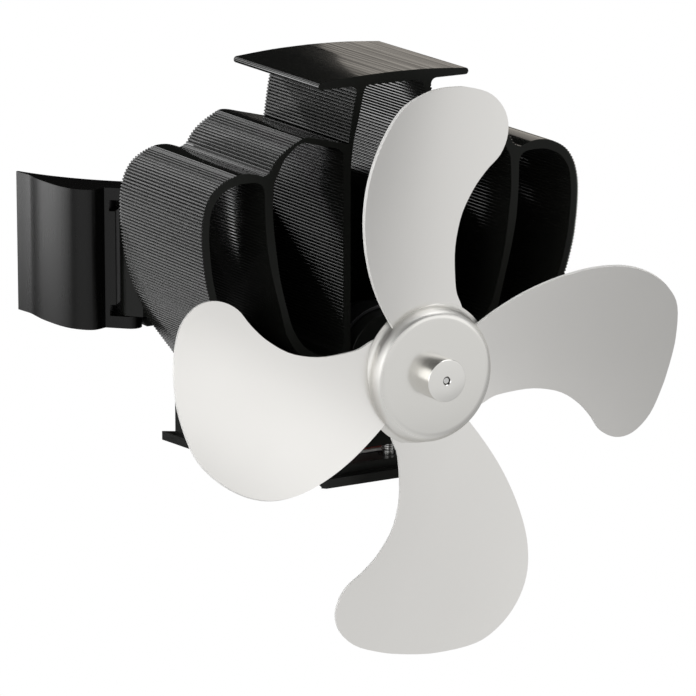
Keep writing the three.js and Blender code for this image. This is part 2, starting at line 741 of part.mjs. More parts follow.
for (const [place, placeY] of Object.entries(clampPlaces)) {
  const headTop = clampHeadHeight;
  const shankTop = pedestalTopZ - footBottomZ + tegStack + clampThreadDepth;
  const screwProfile = [
    [0, 0],
    [clampHeadRadius, 0],
    [clampHeadRadius, headTop],
    [clampRadius, headTop],
    [clampRadius, shankTop],
    [0, shankTop],
  ];
  const screw = turnedZ(screwProfile, coarse).translate(0, placeY, footBottomZ);
  addPiece(`clamp_screw_${place}`, screw, brightSteel);
  const washerZ = footBottomZ + clampHeadHeight;
  const washerRing = tube(clampRadius + fitGap, clampWasherRadius, clampWasherThickness);
  const washer = turnedZ(washerRing, coarse).translate(0, placeY, washerZ);
  const slitTop = washerZ + clampWasherThickness + cutOverrun;
  const slit = block(0, 2 * clampWasherRadius, placeY, placeY + fitGap, washerZ - cutOverrun, slitTop);
  addPiece(`spring_washer_${place}`, cut(washer, slit), brightSteel);
  const bushHeight = footThickness + pedestalHeight - clampHeadHeight - clampWasherThickness;
  const bushProfile = [
    [bushInnerRadius, 0],
    [bushFlangeRadius, 0],
    [bushFlangeRadius, bushFlangeThickness],
    [bushOuterRadius, bushFlangeThickness],
    [bushOuterRadius, bushHeight],
    [bushInnerRadius, bushHeight],
    [bushInnerRadius, 0],
  ];
  const bush = turnedZ(bushProfile, coarse).translate(0, placeY, washerZ + clampWasherThickness);
  addPiece(`insulating_bush_${place}`, bush, heatPolymer);
}

// Pipe saddle: a stem on the foot, and a wider head that carries the hinge knuckles
const headFlatInset = 16.5;
const headArcInset = 13.5;
const headEndInset = 4.3;
const headNoseInset = 6.5;
const headFrontStep = 2.5;
const knuckleWebDrop = 6.2;
const knuckleWebRoot = 7.5;
const knuckleWebEnd = 0.9;
const knuckleFaceAngle = THREE.MathUtils.degToRad(38);
const headTopZ = wingHeight / 2;
const headBottomZ = -headTopZ;
const knuckleHalfHeight = headTopZ - wingArmHeight - fitGap;

function saddleHeadOutline() {
  const endX = hingePinX - headEndInset;
  const noseX = hingePinX - headNoseInset;
  const shoulderY = hingePinY - headFrontStep;
  const right = [
    [hingePinX - headFlatInset, saddleFrontY],
    [noseX, shoulderY],
    [endX, shoulderY],
    [endX, hingePinY + headFrontStep],
    [noseX, hingePinY + headNoseInset - fitGap],
  ];
  return [...right, ...pipeFace(hingePinX - headArcInset, 20), ...mirrored(right)];
}

function knuckle(side) {
  const centreX = side * hingePinX;
  const rootX = side * (hingePinX - knuckleWebRoot);
  const faceX = knuckleRadius * Math.cos(knuckleFaceAngle);
  const faceY = knuckleRadius * Math.sin(knuckleFaceAngle);
  const web = [
    [rootX, hingePinY - knuckleWebDrop],
    [centreX - side * knuckleWebEnd, hingePinY - knuckleWebDrop],
    [centreX + side * faceX, hingePinY - faceY],
    [centreX, hingePinY + knuckleRadius],
    [rootX, hingePinY + knuckleRadius],
  ];
  const barrel = turnedZ(rod(knuckleRadius, 2 * knuckleHalfHeight), medium);
  barrel.translate(centreX, hingePinY, -knuckleHalfHeight);
  return joined(barrel, prismZ(web, -knuckleHalfHeight, knuckleHalfHeight));
}

function pinHole(side) {
  const hole = turnedZ(rod(hingePinRadius + fitGap, wingHeight + 2 * cutOverrun), coarse);
  return hole.translate(side * hingePinX, hingePinY, headBottomZ - cutOverrun);
}

function pipeSaddle() {
  const stemPlan = [
    [-stemHalfWidth, saddleFrontY],
    [stemHalfWidth, saddleFrontY],
    ...pipeFace(stemHalfWidth, 16),
  ];
  const stem = prismZ(stemPlan, footTopZ, headTopZ);
  const head = prismZ(saddleHeadOutline(), headBottomZ, headTopZ);
  const tappings = [-1, 1].map((side) => {
    const hole = turnedZ(rod(saddleScrewRadius + fitGap, saddleScrewDepth + fitGap + cutOverrun), coarse);
    return hole.translate(side * saddleScrewX, saddleScrewY, footTopZ - cutOverrun);
  });
  return cut(joined(stem, head, knuckle(1), knuckle(-1)), pinHole(1), pinHole(-1), ...tappings);
}

addPiece('pipe_saddle', pipeSaddle(), blackCoated);

const sides = { right: 1, left: -1 };
for (const [name, side] of Object.entries(sides)) {
  const profile = [
    [0, 0],
    [saddleScrewHeadRadius, 0],
    [saddleScrewRadius, saddleScrewHeadHeight],
    [saddleScrewRadius, footThickness + saddleScrewDepth],
    [0, footThickness + saddleScrewDepth],
  ];
  const screw = turnedZ(profile, coarse).translate(side * saddleScrewX, saddleScrewY, footBottomZ);
  addPiece(`saddle_screw_${name}`, screw, darkSteel);
  const pin = turnedZ(rod(hingePinRadius, wingHeight), coarse);
  addPiece(`hinge_pin_${name}`, pin.translate(side * hingePinX, hingePinY, headBottomZ), darkSteel);
}

// Wings: thick at the hinge, tapering to a thin tip, with the pipe-side face an arc about the pipe.
// A pair is degrees round the pipe from the hinge pin and a share of the wing thickness.
const wingOuterShares = [
  [4.8, 0.66], [5.7, 0.85], [6.7, 0.94], [8.5, 0.965], [10.9, 0.925], [13.4, 0.82], [16.4, 0.65],
  [19.7, 0.465], [22.4, 0.3], [25, 0.16], [29.3, 0.055],
];
const wingRootDegrees = 3.9;
const wingTipDegrees = 29.3;
const wingLipDegrees = 2;
const wingLipThickness = 2.6;
const wingBarDegrees = 2.65;
const wingBarHalfHeight = 15.2;
const armRadius = 3.4;
const armOverlapDegrees = 3;
const wingInnerRadius = pipeRadius + wingPipeGap;

function aroundPipe(side, degrees, outwards) {
  const angle = hingeAngle + THREE.MathUtils.degToRad(degrees);
  const radius = wingInnerRadius + outwards;
  return [side * radius * Math.sin(angle), pipeRadius - radius * Math.cos(angle)];
}

function wingOutline(side) {
  const outwards = ([degrees, share]) => aroundPipe(side, degrees, share * wingThickness);
  const outer = smooth(wingOuterShares, 2).map(outwards);
  const inner = [];
  const steps = 10;
  for (let step = 0; step < steps; step += 1) {
    const degrees = wingTipDegrees + (wingLipDegrees - wingTipDegrees) * step / steps;
    inner.push(aroundPipe(side, degrees, 0));
  }
  return [
    ...outer,
    ...inner,
    aroundPipe(side, wingLipDegrees, 0),
    aroundPipe(side, wingLipDegrees, wingLipThickness),
    aroundPipe(side, wingRootDegrees, wingLipThickness),
    aroundPipe(side, wingRootDegrees, wingOuterShares[0][1] * wingThickness),
  ];
}

// A bar between the arms that narrows the slot beside the knuckle
function wingBar(side) {
  const outer = wingOuterShares[0][1] * wingThickness;
  const outline = [
    aroundPipe(side, wingOuterShares[0][0], wingLipThickness / 2),
    aroundPipe(side, wingOuterShares[0][0], outer),
    aroundPipe(side, wingBarDegrees, outer),
    aroundPipe(side, wingBarDegrees, wingLipThickness / 2),
  ];
  return prismZ(outline, -wingBarHalfHeight, wingBarHalfHeight);
}

function armOutline(side) {
  const centreX = side * hingePinX;
  const bend = arc(0, 0, armRadius, -40, -180, 8).map(([x, y]) => [centreX + side * x, hingePinY + y]);
  const rootOuter = aroundPipe(side, wingOuterShares[0][0], wingOuterShares[0][1] * wingThickness);
  const rootInner = aroundPipe(side, wingRootDegrees, wingLipThickness / 2);
  const deepInner = aroundPipe(side, wingRootDegrees + armOverlapDegrees, wingLipThickness / 2);
  const deepOuter = aroundPipe(side, wingRootDegrees + armOverlapDegrees, wingThickness / 2);
  return [...bend, rootInner, deepInner, deepOuter, rootOuter];
}

const magnetDegrees = 12.4;
const magnetRise = 11.5;

function magnetDisc(side, height, radius, length, outwards) {
  const [x, y] = aroundPipe(side, magnetDegrees, outwards);
  const disc = new THREE.CylinderGeometry(radius, radius, length, coarse);
  disc.rotateZ(side * (hingeAngle + THREE.MathUtils.degToRad(magnetDegrees)));
  return disc.translate(x, y, height);
}

function wing(side) {
  const body = prismZ(wingOutline(side), headBottomZ, headTopZ);
  const arms = [headBottomZ, headTopZ - wingArmHeight].map((bottomZ) => (
    prismZ(armOutline(side), bottomZ, bottomZ + wingArmHeight)
  ));
  const pockets = [-1, 1].map((rise) => {
    const depth = magnetThickness + fitGap + cutOverrun;
    return magnetDisc(side, rise * magnetRise, magnetRadius + fitGap, depth, depth / 2 - cutOverrun);
  });
  return cut(joined(body, wingBar(side), ...arms), pinHole(side), ...pockets);
}

for (const [name, side] of Object.entries(sides)) {
  addPiece(`wing_${name}`, wing(side), blackCoated);
  for (const [level, rise] of Object.entries({ upper: 1, lower: -1 })) {
    const disc = magnetDisc(side, rise * magnetRise, magnetRadius, magnetThickness, magnetThickness / 2);
    addPiece(`magnet_${name}_${level}`, disc, magnetPlate);
  }
}

export default stoveFan;
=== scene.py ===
import json
import math

import bmesh
import bpy
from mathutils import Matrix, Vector


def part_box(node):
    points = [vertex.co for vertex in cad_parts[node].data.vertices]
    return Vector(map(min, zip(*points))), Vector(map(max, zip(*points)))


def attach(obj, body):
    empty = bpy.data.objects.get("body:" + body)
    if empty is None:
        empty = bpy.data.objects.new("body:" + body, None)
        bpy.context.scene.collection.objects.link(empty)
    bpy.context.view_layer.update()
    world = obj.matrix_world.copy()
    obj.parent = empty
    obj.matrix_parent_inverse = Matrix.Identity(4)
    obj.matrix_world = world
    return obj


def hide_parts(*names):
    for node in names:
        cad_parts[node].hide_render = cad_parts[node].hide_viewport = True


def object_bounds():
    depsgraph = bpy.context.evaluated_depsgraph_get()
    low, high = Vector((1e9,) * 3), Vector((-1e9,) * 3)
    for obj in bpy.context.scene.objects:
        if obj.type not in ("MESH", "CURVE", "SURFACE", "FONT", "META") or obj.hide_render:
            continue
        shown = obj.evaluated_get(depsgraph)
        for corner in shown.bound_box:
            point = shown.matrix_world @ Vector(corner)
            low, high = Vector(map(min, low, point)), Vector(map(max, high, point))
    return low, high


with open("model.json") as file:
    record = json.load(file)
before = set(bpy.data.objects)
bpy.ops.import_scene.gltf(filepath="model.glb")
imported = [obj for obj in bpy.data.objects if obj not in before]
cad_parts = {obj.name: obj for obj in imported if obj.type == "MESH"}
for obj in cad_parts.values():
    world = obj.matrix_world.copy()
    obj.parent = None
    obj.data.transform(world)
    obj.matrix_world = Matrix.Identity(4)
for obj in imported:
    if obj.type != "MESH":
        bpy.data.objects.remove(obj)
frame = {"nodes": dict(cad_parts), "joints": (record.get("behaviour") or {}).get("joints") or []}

cad_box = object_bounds()

# Camera: a long lens to the left of the fan and a little above it, in the photograph's place.
# Its place is measured from the middle of the pipe saddle.
camera_place = Vector((-0.80592, -1.41057, 0.36218))
camera_heading = math.radians(30.307)
camera_dip = math.radians(13.757)
camera_lens = 267.43
camera_sensor = 36.0

camera_data = bpy.data.cameras.new("camera")
camera_data.sensor_width = camera_sensor
camera_data.lens = camera_lens
camera_data.clip_start = 0.05
camera_data.clip_end = 50.0
camera = bpy.data.objects.new("camera", camera_data)
camera.location = camera_place
camera.rotation_euler = (math.pi / 2 - camera_dip, 0.0, -camera_heading)
bpy.context.scene.collection.objects.link(camera)
bpy.context.scene.camera = camera
bpy.context.scene.view_settings.view_transform = "Standard"

# Studio: a pale floor well below the hanging blades, a white sky for the camera, and soft lamps. In
# reflections the sky has bright and dim parts, as a studio does. In reflections the floor shows painted light
# instead of its lit paint: a glow with painted shade close in front of the fan and to its right, painted dark
# behind it, and a faint painted pool of light far to its left, so that the metal shades off.
floor_drop = 0.035
floor_half = 6.0
floor_z = cad_box[0][2] - floor_drop
floor_paint = (0.86, 0.86, 0.86, 1.0)
floor_roughness = 0.9
white = (1.0, 1.0, 1.0, 1.0)
# Levels of the floor's painted glow, seen only in reflections: painted shade close in front of the fan and
# behind it, and a faint painted patch of light far to the left.
left_floor_level = 0.82
front_right_painted_shade_levels = [(0.15, 0.50), (0.22, 0.58), (0.32, 0.67), (0.38, 0.80), (0.43, 0.87)]
right_share_levels = [(0.53, 0.0), (0.62, 1.0)]
behind_painted_shade_levels = [(0.48, 1.0), (0.60, 0.04)]
behind_slant = 0.6
far_left_painted_glow_levels = [(0.15, 0.20), (0.30, 0.0)]
sky_levels = [(0.0, 1.0), (0.62, 0.90), (0.69, 0.95), (0.77, 0.20), (1.0, 0.10)]
sky_back_levels = [(0.35, 1.0), (0.62, 0.01)]


class Shade:
    """A shader socket that can be summed: each operator adds its Math node, and add() adds any other node"""

    def __init__(self, tree, socket=None):
        self.tree = tree
        self.socket = socket

    def add(self, kind, settings=None, links=None, output=0):
        node = self.tree.nodes.new(kind)
        for name, value in (settings or {}).items():
            if name == "stops":
                ramp = node.color_ramp
                while len(ramp.elements) < len(value):
                    ramp.elements.new(1.0)
                for element, (place, level) in zip(ramp.elements, value):
                    element.position = place
                    element.color = (level, level, level, 1.0)
            else:
                setattr(node, name, value)
        for name, value in (links or {}).items():
            if isinstance(value, Shade):
                self.tree.links.new(value.socket, node.inputs[name])
            else:
                node.inputs[name].default_value = value
        return Shade(self.tree, node.outputs[output]) if node.outputs else None

    def work_out(self, operation, first, second):
        return self.add("ShaderNodeMath", {"operation": operation}, {0: first, 1: second})

    def __add__(self, other):
        return self.work_out("ADD", self, other)

    def __radd__(self, other):
        return self.work_out("ADD", other, self)

    def __sub__(self, other):
        return self.work_out("SUBTRACT", self, other)

    def __rsub__(self, other):
        return self.work_out("SUBTRACT", other, self)

    def __mul__(self, other):
        return self.work_out("MULTIPLY", self, other)

    def __rmul__(self, other):
        return self.work_out("MULTIPLY", other, self)


def grey(shade, levels, place):
    """Reads a grey off the levels, which are (place, grey) pairs"""
    return shade.add("ShaderNodeValToRGB", {"stops": levels}, {0: place})


def object_place(shade):
    return shade.add("ShaderNodeTexCoord", output="Object")


def part_of(shade, vector, axis):
    return shade.add("ShaderNodeSeparateXYZ", None, {0: vector}, output=axis)


def empty_material(name):
    material = bpy.data.materials.new(name)
    material.use_nodes = True
    material.node_tree.nodes.clear()
    return material, Shade(material.node_tree)


def close_material(shade, surface):
    shade.add("ShaderNodeOutputMaterial", None, {"Surface": surface})


floor_bm = bmesh.new()
bmesh.ops.create_grid(floor_bm, x_segments=1, y_segments=1, size=floor_half)
bmesh.ops.translate(floor_bm, vec=(0.0, 0.0, floor_z), verts=floor_bm.verts)
floor_mesh = bpy.data.meshes.new("floor")
floor_bm.to_mesh(floor_mesh)
floor_bm.free()
floor = bpy.data.objects.new("floor", floor_mesh)
bpy.context.scene.collection.objects.link(floor)

floor_material, shade = empty_material("floor")
# Seen in reflections, the floor is a painted glow instead of lit paint. It has painted shade close in front
# of the fan and to its right, where the fan's shade would fall, it is painted dark behind the fan, and it has
# a faint painted light far to the left. The camera sees it as plain white.
spot = object_place(shade)
sideways = part_of(shade, spot, "X")
depth = part_of(shade, spot, "Y")
right_share = grey(shade, right_share_levels, sideways + 0.5)
front = right_share * grey(shade, front_right_painted_shade_levels, 0.0 - depth) + (1.0 - right_share) * left_floor_level
to_the_right = shade.work_out("MAXIMUM", sideways, 0.0)
behind = grey(shade, behind_painted_shade_levels, depth - to_the_right * behind_slant + 0.5)
far_left = grey(shade, far_left_painted_glow_levels, sideways + 0.5)
painted_glow = shade.work_out("MAXIMUM", behind * front, far_left)
paint = shade.add("ShaderNodeBsdfPrincipled", None, {"Base Color": floor_paint, "Roughness": floor_roughness})
floor_painted_reflection = shade.add("ShaderNodeEmission", None, {"Color": white, "Strength": painted_glow})
by_reflection = shade.add("ShaderNodeLightPath", output="Is Glossy Ray")
unseen = shade.add("ShaderNodeMixShader", None, {0: by_reflection, 1: paint, 2: floor_painted_reflection})
seen = shade.add("ShaderNodeEmission", None, {"Color": white, "Strength": 1.0})
by_camera = shade.add("ShaderNodeLightPath", output="Is Camera Ray")
close_material(shade, shade.add("ShaderNodeMixShader", None, {0: by_camera, 1: unseen, 2: seen}))
floor_mesh.materials.append(floor_material)

world = bpy.data.worlds.new("studio")
bpy.context.scene.world = world
world.use_nodes = True
world.node_tree.nodes.clear()
shade = Shade(world.node_tree)
towards = object_place(shade)
sky = grey(shade, sky_levels, part_of(shade, towards, "Z") * 0.5 + 0.5)
sky_strength = grey(shade, sky_back_levels, part_of(shade, towards, "Y") * 0.5 + 0.5)
unseen = shade.add("ShaderNodeBackground", None, {"Color": sky, "Strength": sky_strength})
seen = shade.add("ShaderNodeBackground", None, {"Color": white, "Strength": 1.0})
by_camera = shade.add("ShaderNodeLightPath", output="Is Camera Ray")
backdrop = shade.add("ShaderNodeMixShader", None, {0: by_camera, 1: unseen, 2: seen})
shade.add("ShaderNodeOutputWorld", None, {"Surface": backdrop})


def soft_lamp(name, place, aim, width, height, watts, colour=(1.0, 1.0, 1.0)):
    data = bpy.data.lights.new(name, "AREA")
    data.shape = "RECTANGLE"
    data.size = width
    data.size_y = height
    data.energy = watts
    data.color = colour
    lamp = bpy.data.objects.new(name, data)
    lamp.location = place
    lamp.rotation_euler = (Vector(aim) - Vector(place)).to_track_quat("-Z", "Y").to_euler()
    bpy.context.scene.collection.objects.link(lamp)


# The three large lamps light the whole fan. The five small ones are cards behind it and beside it, which
# only graze its black walls and put a sheen on them.
middle = (0.0, -0.05, -0.02)
soft_lamp("key_left", (-1.35, -0.65, 0.3), middle, 1.8, 1.3, 9.0)
soft_lamp("overhead", (0.55, -0.35, 1.1), middle, 0.8, 0.8, 5.0)
soft_lamp("front_right", (0.95, -1.2, 0.5), middle, 1.3, 0.9, 1.2)
soft_lamp("behind", (-0.06, 1.3, 0.8), middle, 0.5, 0.16, 0.55)
soft_lamp("left_high", (-0.29, 0.4, 0.2), (-0.09, 0.0, 0.03), 0.3, 0.14, 0.24)
soft_lamp("left_card", (-0.456, 0.311, -0.055), (-0.066, -0.029, -0.055), 0.5, 0.15, 0.23)
soft_lamp("left_low", (-0.62, 0.45, -0.08), (-0.09, 0.01, 0.0), 0.7, 0.13, 0.95)
soft_lamp("side_card", (0.575, 0.474, 0.22), (0.1, -0.34, 0.04), 0.5, 0.45, 0.34, (1.0, 0.93, 0.84))

# Foot: a tapering aluminium plate with a raised pedestal that carries the generator, coated satin black.
# Its edges are rounded over before it is coated.
foot_edge = 0.0008
same_point = 0.000002
flat_within = 0.1
crease_degrees = 30
cloud_waves = 60.0
coat_roughness = 0.08
bare_paleness = (0.2, 0.2, 0.2)


def mesh_of(bm, name, sharp_degrees):
    mesh = bpy.data.meshes.new(name)
    for face in bm.faces:
        face.smooth = True
    bm.to_mesh(mesh)
    bm.free()
    mesh.set_sharp_from_angle(angle=math.radians(sharp_degrees))
    return mesh


def link_piece(name, mesh, body, material, slot, *nodes):
    piece = bpy.data.objects.new(name, mesh)
    bpy.context.scene.collection.objects.link(piece)
    mesh.materials.clear()
    mesh.materials.append(material)
    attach(piece, body)
    if nodes:
        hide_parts(*nodes)
    return piece


def from_solid(node, body, material, slot, edge=0.0):
    """A piece that keeps its solid's shape: the solid is copied, its loose triangles are merged into whole
    faces, and its edges are broken as a real part's are"""
    bm = bmesh.new()
    bm.from_mesh(frame["nodes"][node].data)
    bmesh.ops.remove_doubles(bm, verts=bm.verts, dist=same_point)
    bmesh.ops.dissolve_limit(bm, angle_limit=math.radians(flat_within), verts=bm.verts, edges=bm.edges)
    mesh = mesh_of(bm, f"{node}_part", crease_degrees)
    piece = link_piece(f"{node}_part", mesh, body, material, slot, node)
    if edge:
        rounding = piece.modifiers.new("edges", "BEVEL")
        rounding.width = edge
        rounding.segments = 2
        rounding.limit_method = "ANGLE"
        rounding.angle_limit = math.radians(crease_degrees)
        rounding.use_clamp_overlap = True
        evened = piece.modifiers.new("even", "WEIGHTED_NORMAL")
        evened.keep_sharp = True


def finish(
    name, colour, metallic, rough, grain, grain_depth, rough_swing=0.06, tone_swing=0.12, ior=1.5,
    coat=None, duller=None, cut=None,
):
    """A surface with a fine grain and soft clouds in it. grain is waves per metre along each axis, and it
    moves the tone, the roughness and a shallow bump. coat and duller are functions that give a coat's weight
    and some extra roughness, and cut is one that gives 1 where the surface is cut and bare"""
    material, shade = empty_material(name)
    place = object_place(shade)
    stretched = shade.add("ShaderNodeMapping", None, {"Vector": place, "Scale": grain})
    fibre = shade.add("ShaderNodeTexNoise", None, {"Vector": stretched, "Scale": 1.0, "Detail": 4.0})
    cloud = shade.add("ShaderNodeTexNoise", None, {"Vector": place, "Scale": cloud_waves, "Detail": 3.0})
    tone = (fibre * 0.5 + cloud * 0.5 - 0.5) * tone_swing + 1.0
    dyed = shade.add("ShaderNodeVectorMath", {"operation": "SCALE"}, {0: colour, "Scale": tone})
    sheen = metallic
    if cut:
        bare = cut(shade)
        pale = shade.add("ShaderNodeVectorMath", {"operation": "SCALE"}, {0: bare_paleness, "Scale": bare})
        dyed = shade.add("ShaderNodeVectorMath", {"operation": "ADD"}, {0: dyed, 1: pale})
        sheen = (1.0 - bare) * metallic
    bump = shade.add("ShaderNodeBump", None, {"Height": fibre, "Strength": 1.0, "Distance": grain_depth})
    roughness = (fibre - 0.5) * rough_swing + (cloud - 0.5) * rough_swing + rough
    surface = shade.add("ShaderNodeBsdfPrincipled", None, {
        "Base Color": dyed,
        "Metallic": sheen,
        "Roughness": roughness + duller(shade, place) if duller else roughness,
        "IOR": ior,
        "Coat Roughness": coat_roughness,
        "Coat Weight": coat(shade, place) if coat else 0.0,
        "Normal": bump,
    })
    close_material(shade, surface)
    return material


black_coated = finish(
    "black_coated", (0.007, 0.0075, 0.0066), metallic=0.0, rough=0.34, grain=(900.0, 900.0, 900.0),
    grain_depth=0.000004, ior=1.3,
)
from_solid("base_foot", "stove_body", black_coated, "black_coated", foot_edge)

# Hot wall: a thick upright aluminium wall, hollowed to the pipe's curve, with a hinge knuckle at each end.
# Two countersunk steel screws come up through the foot and hold it.
saddle_edge = 0.0004
saddle_screw_edge = 0.0001

dark_steel = finish(
    "dark_steel", (0.10, 0.10, 0.105), metallic=1.0, rough=0.4, grain=(300.0, 300.0, 300.0),
    grain_depth=0.000003,
)
from_solid("pipe_saddle", "stove_body", black_coated, "black_coated", saddle_edge)
for side in ("right", "left"):
    from_solid(f"saddle_screw_{side}", "stove_body", dark_steel, "dark_steel", saddle_screw_edge)

# Wings: two curved aluminium wings, coated black, that swing on upright steel pins through the knuckles.
# Two nickel-plated disc magnets are pressed into each, and pull it on to the pipe.
hinge_pin_edge = 0.0002
wing_edge = 0.0003
magnet_edge = 0.0003

wing_black = finish(
    "wing_black", (0.0022, 0.0022, 0.002), metallic=0.0, rough=0.28, grain=(500.0, 500.0, 12.0),
    grain_depth=0.000004, ior=1.32,
)
nickel = finish(
    "nickel", (0.66, 0.66, 0.65), metallic=1.0, rough=0.22, grain=(200.0, 200.0, 200.0), grain_depth=0.000002,
)
for side in ("right", "left"):
    from_solid(f"hinge_pin_{side}", "stove_body", dark_steel, "dark_steel", hinge_pin_edge)
    from_solid(f"wing_{side}", f"{side}_wing", wing_black, "wing", wing_edge)
    for height in ("upper", "lower"):
        from_solid(f"magnet_{side}_{height}", f"{side}_wing", nickel, "magnet_plate", magnet_edge)

# Generator: two ceramic plates with the thermocouples between them, sealed round the edge with red
# silicone. A soft graphite pad on each side fills the gap to the pedestal and to the heat sink.
plate_edge = 0.0001

ceramic = finish(
    "ceramic", (0.84, 0.83, 0.80), metallic=0.0, rough=0.5, grain=(500.0, 500.0, 500.0), grain_depth=0.000006,
)
sealant = finish(
    "red_sealant", (0.20, 0.03, 0.02), metallic=0.0, rough=0.5, grain=(300.0, 300.0, 300.0),
    grain_depth=0.00003,
)
graphite = finish(
    "graphite", (0.045, 0.045, 0.05), metallic=0.3, rough=0.6, grain=(700.0, 700.0, 100.0),
    grain_depth=0.000006,
)
from_solid("hot_thermal_pad", "stove_body", graphite, "graphite")
from_solid("teg_hot_plate", "stove_body", ceramic, "ceramic", plate_edge)
from_solid("teg_core", "stove_body", sealant, "red_sealant", plate_edge)
from_solid("teg_cold_plate", "stove_body", ceramic, "ceramic", plate_edge)
from_solid("cold_thermal_pad", "stove_body", graphite, "graphite")

# Clamp screws: one in front of the generator and one behind it pull the heat sink down on the foot. Each
# has a spring washer and an insulating bush under its head, and its rolled thread shows below the pad.
clamp_edge = 0.0001
thread_pitch = 0.0007
thread_radius = 0.00222
shank_radius = 0.002
thread_end_radius = shank_radius - 0.0003
thread_above_plate = 0.0035
thread_below_plate = 0.0016
thread_steps = 40


def turned(profile, steps, direction=(0.0, 1.0, 0.0), centre=(0.0, 0.0, 0.0)):
    """Spins a profile of (radius, height) pairs about a line through centre"""
    bm = bmesh.new()
    up = Vector(direction).normalized()
    out = up.orthogonal().normalized()
    verts = [bm.verts.new(Vector(centre) + out * radius + up * height) for radius, height in profile]
    for start, end in zip(verts, verts[1:]):
        bm.edges.new((start, end))
    bmesh.ops.spin(
        bm, geom=bm.verts[:] + bm.edges[:], cent=centre, axis=up, dvec=(0.0, 0.0, 0.0),
        angle=2 * math.pi, steps=steps, use_merge=True,
    )
    bmesh.ops.remove_doubles(bm, verts=bm.verts, dist=0.000001)
    bmesh.ops.dissolve_degenerate(bm, edges=bm.edges, dist=0.000001)
    bmesh.ops.recalc_face_normals(bm, faces=bm.faces)
    return bm


def thread_profile(low, high):
    turns = round((high - low) / thread_pitch)
    profile = [(thread_end_radius, low)]
    for turn in range(turns):
        root = low + turn * thread_pitch
        profile += [
            (shank_radius, root + 0.1 * thread_pitch), (thread_radius, root + 0.45 * thread_pitch),
            (thread_radius, root + 0.55 * thread_pitch), (shank_radius, root + 0.9 * thread_pitch),
        ]
    return profile + [(thread_end_radius, low + turns * thread_pitch)]


steel = finish(
    "bright_steel", (0.62, 0.62, 0.61), metallic=1.0, rough=0.25, grain=(300.0, 300.0, 300.0),
    grain_depth=0.000003,
)
polymer = finish(
    "heat_polymer", (0.03, 0.03, 0.027), metallic=0.0, rough=0.55, grain=(400.0, 400.0, 400.0),
    grain_depth=0.00001,
)
plate_low, plate_high = (corner[2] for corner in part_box("teg_cold_plate"))
for end in ("front", "back"):
    from_solid(f"clamp_screw_{end}", "stove_body", steel, "bright_steel", clamp_edge)
    from_solid(f"spring_washer_{end}", "stove_body", steel, "bright_steel", clamp_edge)
    from_solid(f"insulating_bush_{end}", "stove_body", polymer, "heat_polymer", clamp_edge)
    screw_low, screw_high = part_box(f"clamp_screw_{end}")
    thread_bm = turned(
        thread_profile(plate_low - thread_below_plate, plate_high + thread_above_plate), thread_steps,
        (0.0, 0.0, 1.0), (0.0, (screw_low[1] + screw_high[1]) / 2, 0.0),
    )
    thread_mesh = mesh_of(thread_bm, f"clamp_thread_{end}", 25)
    link_piece(f"clamp_thread_{end}", thread_mesh, "stove_body", steel, "bright_steel")

# Heat sink: one black anodised aluminium extrusion, sawn to length, with a capped centre column that holds
# the motor and two curved cells on each side. Fine ribs run its whole length. Shares are of its half
# width, or of the column's or the channel's, and of its rise above the fan's axis.
sink_low, sink_high = (Vector(corner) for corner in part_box("heat_sink"))
joints = {joint["name"]: joint for joint in frame["joints"]}
axis_z = joints["fan_spin"]["pos_m"][2]
half_width = sink_high.x
rise = sink_high.z - axis_z
channel_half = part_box("motor_can")[1][0] + 0.0005
channel_straight_rise = 0.012
column_half = channel_half + 0.0028
column_side_share = 0.735
pad_bottom = sink_low.z
pad_top = pad_bottom + 0.0073
pad_half = 0.026
pad_rise = 0.0008
wall = 0.0025
pocket_start = -54
pocket_end = -4
cap_half = 0.027
cap_under = sink_high.z - 0.0034
cap_nose = 0.00105
cap_sag = 0.0013
cap_fillet = 0.002
cell_fillet = 0.003
rib_pitch = 0.00105
rib_depth = 0.0006
inner_rib_depth = 0.00012
rib_steps = 8
rib_run_in = 3
smooth_steps = 6
smooth_roof = 2 * smooth_steps + 1
smooth_crest = 2 * smooth_steps
sawn_depth = 0.00002
extruded_smoothness = 0.2
side_gloss = 0.85
cap_gloss = 0.6
side_streaks = 0.4
cap_streaks = 4.4

roof_shares = [
    (0.352, 0.789), (0.457, 0.806), (0.523, 0.790), (0.586, 0.761), (0.624, 0.733), (0.652, 0.702),
    (0.681, 0.690),
]
lobe_shares = [
    (0.681, 0.690), (0.744, 0.705), (0.807, 0.706), (0.870, 0.693), (0.933, 0.664), (0.975, 0.618),
    (0.996, 0.560), (1.0, 0.5), (0.993, 0.422), (0.974, 0.329), (0.928, 0.216), (0.857, 0.104),
    (0.789, 0.030), (0.719, -0.038),
]
outer_cell_shares = [
    (0.674, 0.636), (0.684, 0.657), (0.712, 0.671), (0.761, 0.674), (0.810, 0.672), (0.860, 0.660),
    (0.908, 0.637), (0.947, 0.589), (0.9586, 0.513), (0.952, 0.425), (0.934, 0.333), (0.892, 0.224),
    (0.823, 0.118), (0.758, 0.048), (0.688, -0.020),
]
web_outer_shares = [
    (0.352, 0.010), (0.432, 0.028), (0.505, 0.069), (0.559, 0.129), (0.574, 0.164), (0.600, 0.240),
    (0.630, 0.327), (0.659, 0.436), (0.671, 0.545), (0.674, 0.636),
]
web_inner_shares = [
    (0.604, 0.690), (0.622, 0.665), (0.628, 0.633), (0.630, 0.545), (0.615, 0.436), (0.593, 0.327),
    (0.556, 0.218), (0.527, 0.153), (0.477, 0.094), (0.410, 0.057), (0.344, 0.044),
]
roof_inner_shares = [
    (0.295, 0.757), (0.380, 0.772), (0.450, 0.786), (0.476, 0.789), (0.507, 0.780), (0.543, 0.759),
    (0.575, 0.735), (0.604, 0.690),
]
column_inner_shares = [(0.690, 0.945), (0.785, 0.872), (0.930, 0.772), (0.985, 0.700), (1.0, 0.654)]
column_outer_shares = [(0.733, 0.945), (0.814, 0.872), (0.895, 0.768)]


